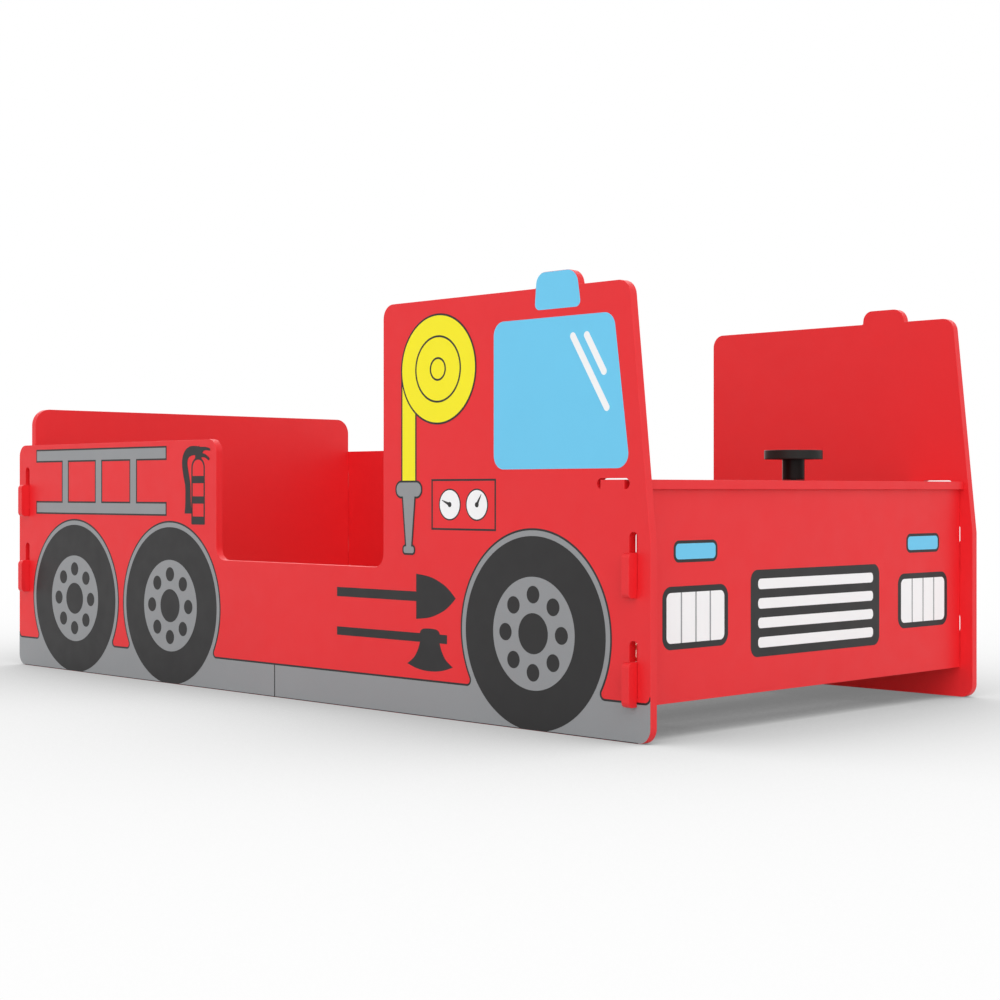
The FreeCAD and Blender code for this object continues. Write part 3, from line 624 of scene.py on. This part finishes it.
def hose_reel(hand, wall):
    line = REEL_LINE
    hose = box(HOSE_LEFT, HOSE_END, HOSE_RIGHT, REEL_CENTRE[1])
    plate(f"{hand}_hose_line", "print_dark", wall, 1, hose)
    filled = box(HOSE_LEFT + HOSE_LINE, HOSE_END, HOSE_RIGHT - HOSE_LINE, REEL_CENTRE[1])
    plate(f"{hand}_hose", "print_yellow", wall, 2, filled)
    plate(f"{hand}_reel_line", "print_dark", wall, 3, disc(REEL_CENTRE, REEL_RADIUS))
    plate(f"{hand}_reel", "print_yellow", wall, 4, disc(REEL_CENTRE, REEL_RADIUS - line))
    rings = [
        [disc(REEL_CENTRE, radius + line / 2), disc(REEL_CENTRE, radius - line / 2)] for radius in REEL_RINGS
    ]
    plate(f"{hand}_reel_rings", "print_dark", wall, 5, *rings)
    nozzle(hand, wall)


def nozzle(hand, wall):
    """A collar, a taper and a round tip: their outlines lie under all three fills, which run together."""
    parts = {}
    for part, (half, foot, top, radius) in (("collar", NOZZLE_COLLAR), ("tip", NOZZLE_TIP)):
        parts[part] = box(NOZZLE_MIDDLE - half, foot, NOZZLE_MIDDLE + half, top, radius)
    (low_half, low), (high_half, high) = NOZZLE_TAPER
    parts["taper"] = [
        (NOZZLE_MIDDLE - low_half, low), (NOZZLE_MIDDLE + low_half, low),
        (NOZZLE_MIDDLE + high_half, high), (NOZZLE_MIDDLE - high_half, high),
    ]
    for part, outline in parts.items():
        lift = NOZZLE_TAPER_LIFT if part == "taper" else 0.0
        plate(f"{hand}_nozzle_{part}_line", "print_dark", wall, 3 + lift, outline)
        plate(f"{hand}_nozzle_{part}", "print_grey", wall, 4 + lift, inset(outline, REEL_LINE))


# Print of a side: gauges, shovel and axe
GAUGE_FRAME = (1102.0, 259.2, 1229.1, 329.1)
GAUGE_LINE = 2.65
DIAL_RISE = 294.2
DIAL_RADIUS = 21.8
DIAL_LINE = 2.0
DIAL_PIN = 3.6
NEEDLE_ROOT = 4.68
NEEDLE_TIP = 0.8
DIAL_NEEDLES = ((1139.0, 1124.0, 300.0), (1192.5, 1201.0, 308.0))


def gauges(hand, wall):
    outer = box(*GAUGE_FRAME)
    plate(f"{hand}_gauge_frame", "print_dark", wall, 1, [outer, inset(outer, GAUGE_LINE)])
    middles = [(middle, DIAL_RISE) for middle, tip, rise in DIAL_NEEDLES]
    plate(f"{hand}_dial_lines", "print_dark", wall, 1, *[disc(middle, DIAL_RADIUS) for middle in middles])
    plate(f"{hand}_dials", "print_white", wall, 2,
          *[disc(middle, DIAL_RADIUS - DIAL_LINE) for middle in middles])
    plate(f"{hand}_dial_pins", "print_dark", wall, 3, *[disc(middle, DIAL_PIN) for middle in middles])
    needles = [
        stroke([(middle, DIAL_RISE, NEEDLE_ROOT), (tip, rise, NEEDLE_TIP)])
        for middle, tip, rise in DIAL_NEEDLES
    ]
    plate(f"{hand}_dial_needles", "print_dark", wall, 4, *needles)


TOOL_BUTT = 898.0
SHOVEL_AXIS = 166.0
SHOVEL_HANDLE = 13.5
SHOVEL_SHOULDER = 1070.5
SHOVEL_EDGE = ((SHOVEL_SHOULDER, 31.6), (1100.0, 27.8), (1125.0, 18.9), (1140.0, 9.5), (1150.8, 0.0))
AXE_LOW = 103.0
AXE_HIGH = 115.2
AXE_END = 1133.5
AXE_MIDDLE = 1098.5
AXE_SIDE = ((20.0, AXE_LOW), (24.5, 92.0), (32.5, 81.0), (46.5, 71.5))
AXE_EDGE = ((46.5, 71.5), (25.0, 65.5), (0.0, 63.3), (-25.0, 65.5), (-46.5, 71.5))
AXE_POLL = (
    (20.5, AXE_HIGH), (18.0, 119.4), (10.0, 122.1), (-10.0, 122.1), (-18.0, 119.4), (-20.5, AXE_HIGH),
)


def tools(hand, wall):
    half = SHOVEL_HANDLE / 2
    upper = [(across, SHOVEL_AXIS + rise) for across, rise in smooth(SHOVEL_EDGE)]
    lower = [(across, SHOVEL_AXIS - rise) for across, rise in smooth(SHOVEL_EDGE)]
    shovel = [(TOOL_BUTT, SHOVEL_AXIS - half), (SHOVEL_SHOULDER, SHOVEL_AXIS - half), *lower]
    shovel += [*upper[-2::-1], (SHOVEL_SHOULDER, SHOVEL_AXIS + half), (TOOL_BUTT, SHOVEL_AXIS + half)]
    plate(f"{hand}_shovel", "print_dark", wall, 1, shovel)

    cheek = smooth(AXE_SIDE)
    axe = [(TOOL_BUTT, AXE_LOW)]
    axe += [(AXE_MIDDLE - across, up) for across, up in cheek[:-1]]
    axe += [(AXE_MIDDLE - across, up) for across, up in smooth(AXE_EDGE)]
    axe += [(AXE_MIDDLE + across, up) for across, up in cheek[-2::-1]]
    axe += [(AXE_END, AXE_LOW), (AXE_END, AXE_HIGH)]
    axe += [(AXE_MIDDLE + across, up) for across, up in smooth(AXE_POLL)]
    axe.append((TOOL_BUTT, AXE_HIGH))
    plate(f"{hand}_axe", "print_dark", wall, 1, axe)


# Print of a side: window and beacon
WINDOW_ROUND = 18.5
WINDOW_CORNERS = ((1225.0, 341.3), (1466.3, 341.3), (1439.6, 537.5), (1225.0, 537.5))
GLINT_WIDTH = 9.6
GLINTS = (((1369.6, 510.8), (1427.6, 418.0)), ((1393.7, 510.8), (1422.9, 463.6)))
BEACON_FOOT = 547.7
BEACON_FOOT_ENDS = (1300.8, 1384.0)
BEACON_FOOT_ROUND = 8.3
BEACON_TOP_ENDS = (1304.9, 1376.1)
BEACON_TOP_ROUNDS = (16.0, 19.9)


def window(hand, wall):
    pane = rounded([(*corner, WINDOW_ROUND) for corner in WINDOW_CORNERS])
    plate(f"{hand}_window", "print_blue", wall, 1, pane)
    glints = [stroke([(*start, GLINT_WIDTH), (*end, GLINT_WIDTH)]) for start, end in GLINTS]
    plate(f"{hand}_window_glints", "print_white", wall, 2, *glints)


def beacon(hand, wall):
    """The blue lamp runs up over the bump on the roof, just inside its edge."""
    rear, front = BEACON_TOP_ENDS
    rear_round, front_round = BEACON_TOP_ROUNDS
    foot_rear, foot_front = BEACON_FOOT_ENDS
    lamp = rounded([
        (foot_rear, BEACON_FOOT, BEACON_FOOT_ROUND), (foot_front, BEACON_FOOT, BEACON_FOOT_ROUND),
        (front, SIDE_TOP, front_round), (rear, SIDE_TOP, rear_round),
    ])
    plate(f"{hand}_beacon", "print_blue", wall, 1, inset(lamp, INK_MARGIN))


def print_side(hand, wall):
    skirt(hand, wall)
    for number, place in enumerate(WHEEL_PLACES, 1):
        wheel(hand, wall, number, place)
    ladder(hand, wall)
    extinguisher(hand, wall)
    hose_reel(hand, wall)
    gauges(hand, wall)
    tools(hand, wall)
    window(hand, wall)
    beacon(hand, wall)


# Print of the front: a radiator grille and two lamp units
GRILLE_HALF = 150.0
GRILLE_FOOT = 92.0
GRILLE_TOP = 208.0
GRILLE_ROUND = 14.0
GRILLE_BARS = 4
GRILLE_BAR_HALF = 134.0
GRILLE_BAR_HEIGHT = 14.0
GRILLE_BAR_ROUND = 5.6
LAMP_MIDDLE = 264.0
LAMP_HALF = 66.0
LAMP_FOOT = 112.0
LAMP_TOP = 192.0
LAMP_ROUND = 16.0
LAMP_RIM = 8.0
LAMP_FLUTES = 3
LAMP_FLUTE = 2.5
FLASHER_HALF = 44.0
FLASHER_FOOT = 222.0
FLASHER_TOP = 250.0
FLASHER_ROUND = 10.0
FLASHER_RIM = 4.0


def grille():
    outer = box(-GRILLE_HALF, GRILLE_FOOT, GRILLE_HALF, GRILLE_TOP, GRILLE_ROUND)
    plate("front_grille", "print_dark", front_wall, 1, outer)
    free = GRILLE_TOP - GRILLE_FOOT - GRILLE_BARS * GRILLE_BAR_HEIGHT
    gap = free / (GRILLE_BARS + 1)
    bars = []
    for index in range(GRILLE_BARS):
        foot = GRILLE_FOOT + gap + (gap + GRILLE_BAR_HEIGHT) * index
        top = foot + GRILLE_BAR_HEIGHT
        bars.append(box(-GRILLE_BAR_HALF, foot, GRILLE_BAR_HALF, top, GRILLE_BAR_ROUND))
    plate("front_grille_bars", "print_white", front_wall, 2, *bars)


def lamps(hand, outward):
    middle = LAMP_MIDDLE * outward
    housing = box(middle - LAMP_HALF, LAMP_FOOT, middle + LAMP_HALF, LAMP_TOP, LAMP_ROUND)
    lens = inset(housing, LAMP_RIM)
    plate(f"front_{hand}_lamp", "print_dark", front_wall, 1, housing)
    plate(f"front_{hand}_lamp_lens", "print_white", front_wall, 2, lens)
    pitch = 2 * (LAMP_HALF - LAMP_RIM) / (LAMP_FLUTES + 1)
    flutes = []
    for index in range(LAMP_FLUTES):
        across = middle - LAMP_HALF + LAMP_RIM + pitch * (index + 1)
        left = across - LAMP_FLUTE / 2
        right = across + LAMP_FLUTE / 2
        flutes.append(box(left, LAMP_FOOT + LAMP_RIM, right, LAMP_TOP - LAMP_RIM))
    plate(f"front_{hand}_lamp_flutes", "print_grey", front_wall, 3, *flutes)
    flasher = box(middle - FLASHER_HALF, FLASHER_FOOT, middle + FLASHER_HALF, FLASHER_TOP, FLASHER_ROUND)
    plate(f"front_{hand}_flasher", "print_dark", front_wall, 1, flasher)
    plate(f"front_{hand}_flasher_lens", "print_blue", front_wall, 2, inset(flasher, FLASHER_RIM))


# Webbing tapes under the slats, stapled to each
SLAT_COUNT = 12
SLATS = [f"slat_{number:02d}" for number in range(1, SLAT_COUNT + 1)]
TAPE_SAG = 0.6
TAPE_SPAN_STEPS = 6
STAPLE_CROWN = 10.0
STAPLE_WIRE = 1.1
STAPLE_HEIGHT = 0.66
STAPLE_ROOT = 0.05

# Share of a flat bar's thickness that each of its rounded edges takes
SOFT_SHARE = 0.35


def tape_bar(mesh, stations, half_width, thickness):
    """A flat bar through stations (place of the middle of its top), with its edges rounded."""
    soft = thickness * SOFT_SHARE
    section = [
        (-half_width, -soft), (-half_width + soft, 0.0), (half_width - soft, 0.0), (half_width, -soft),
        (half_width, soft - thickness), (half_width - soft, -thickness),
        (soft - half_width, -thickness), (-half_width, soft - thickness),
    ]
    rows = []
    for station in stations:
        rows.append([mesh.verts.new(station + Vector((0, across, up))) for across, up in section])
    for here, after in zip(rows, rows[1:]):
        for index in range(len(section)):
            following = (index + 1) % len(section)
            mesh.faces.new((here[index], here[following], after[following], after[index]))
    mesh.faces.new(rows[0][::-1])
    mesh.faces.new(rows[-1])


def slat_tape(hand):
    """A tape that touches each slat's underside and sags a little between slats."""
    node = f"{hand}_slat_tape"
    low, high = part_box(node)
    middle = (low.y + high.y) / 2
    boxes = [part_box(slat) for slat in SLATS]
    stations = [Vector((low.x, middle, high.z))]
    for near, far in zip(boxes, boxes[1:]):
        start = near[1].x
        end = far[0].x
        for index in range(TAPE_SPAN_STEPS + 1):
            share = index / TAPE_SPAN_STEPS
            across = start + (end - start) * share
            sag = TAPE_SAG * MM * 4 * share * (1 - share)
            stations.append(Vector((across, middle, high.z - sag)))
    stations.append(Vector((high.x, middle, high.z)))
    mesh = bmesh.new()
    tape_bar(mesh, stations, (high.y - low.y) / 2, high.z - low.z)
    tape = add_piece(f"{hand}_webbing", mesh, "webbing")
    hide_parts(node)

    wires = bmesh.new()
    for slat_low, slat_high in boxes:
        place = Vector(((slat_low.x + slat_high.x) / 2, middle, low.z + STAPLE_ROOT * MM))
        half = Vector((STAPLE_WIRE * MM / 2, 0, 0))
        ends = [place - half, place + half]
        tape_bar(wires, ends, STAPLE_CROWN * MM / 2, STAPLE_HEIGHT * MM)
    add_piece(f"{hand}_staples", wires, "zinc_steel")


# Studio: a white floor and sky, two softboxes and the photo's camera, in metres and degrees
CAMERA_PLACE = (2.2267, -2.095, 0.313)
CAMERA_TURN = 45.38
CAMERA_LENS = 66.19
CAMERA_SENSOR = 36.0
CAMERA_SHIFT = -0.0092
FLOOR_REACH = 60.0
FLOOR_COLOUR = (0.75, 0.75, 0.75)
SHADOW_REACH = 3.0
SHADOW_SAMPLES = 16
SHADOW_DARKEST = 0.19
SHADOW_BLEND = 0.12
SEEN_WHITE = 1.0
SKY_STRENGTH = 0.581
SOFTBOX_STRENGTH = 1.763
SOFTBOX_SPREAD = 80.0
SOFTBOX_TILT = 65.0
SOFTBOX_TURNS = {"front_softbox": 0.0, "rear_softbox": 180.0}


def camera():
    lens = bpy.data.cameras.new("camera")
    lens.lens = CAMERA_LENS
    lens.sensor_width = CAMERA_SENSOR
    lens.shift_y = CAMERA_SHIFT
    viewer = add_object("camera", lens)
    viewer.location = CAMERA_PLACE
    viewer.rotation_euler = (math.radians(90), 0, math.radians(CAMERA_TURN))
    bpy.context.scene.camera = viewer


def seen(node):
    """1 for a ray that shows a surface to the camera, directly or by a reflection or glass, else 0."""
    path = node("ShaderNodeLightPath").outputs
    mirrored = calculate(node, "MAXIMUM", path["Is Glossy Ray"], path["Is Transmission Ray"])
    return calculate(node, "MAXIMUM", path["Is Camera Ray"], mirrored)


def floor_paper():
    """White paper, seen as pure white with a neutral soft shadow where the bed hides the sky."""
    material, node, surface = new_material("studio_floor")
    surface("Base Color", (*FLOOR_COLOUR, 1.0))
    surface("Roughness", 1.0)
    surface("Specular IOR Level", 0.0)
    tree = material.node_tree
    paper = tree.nodes["Principled BSDF"].outputs["BSDF"]
    hidden = node("ShaderNodeAmbientOcclusion", {"Distance": SHADOW_REACH}, samples=SHADOW_SAMPLES)
    lit = calculate(node, "SMOOTH_MAX", hidden.outputs["AO"], SHADOW_DARKEST, SHADOW_BLEND)
    white = node("ShaderNodeEmission", {"Color": lit, "Strength": SEEN_WHITE}).outputs["Emission"]
    both = node("ShaderNodeMixShader", {0: seen(node), 1: paper, 2: white}).outputs["Shader"]
    feed(tree, tree.nodes["Material Output"].inputs["Surface"], both)
    return material


def floor():
    reach = FLOOR_REACH
    corners = [(-reach, -reach, 0), (reach, -reach, 0), (reach, reach, 0), (-reach, reach, 0)]
    data = bpy.data.meshes.new("studio_floor")
    data.from_pydata(corners, [], [(0, 1, 2, 3)])
    data.materials.append(floor_paper())
    add_object("studio_floor", data)


def sky():
    """Pure white where it is seen, and a plain level of light on the bed."""
    world = bpy.data.worlds.new("studio")
    world.use_nodes = True
    tree = world.node_tree
    node = node_maker(tree)
    background = tree.nodes["Background"]
    feed(tree, background.inputs["Color"], (1.0, 1.0, 1.0, 1.0))
    strength = spread(node, seen(node), low=SKY_STRENGTH, high=SEEN_WHITE, source_low=0.0, source_high=1.0)
    feed(tree, background.inputs["Strength"], strength)
    bpy.context.scene.world = world


def softboxes():
    for name, turn in SOFTBOX_TURNS.items():
        light = bpy.data.lights.new(name, "SUN")
        light.energy = SOFTBOX_STRENGTH
        light.angle = math.radians(SOFTBOX_SPREAD)
        softbox = add_object(name, light)
        softbox.rotation_euler = (math.radians(SOFTBOX_TILT), 0, math.radians(CAMERA_TURN + turn))


dress_nodes()
for hand, wall in (("right", right_wall), ("left", left_wall)):
    print_side(hand, wall)
    slat_tape(hand)
grille()
for hand, outward in (("right", -1), ("left", 1)):
    lamps(hand, outward)
camera()
floor()
sky()
softboxes()
bpy.context.scene.view_settings.view_transform = "Standard"
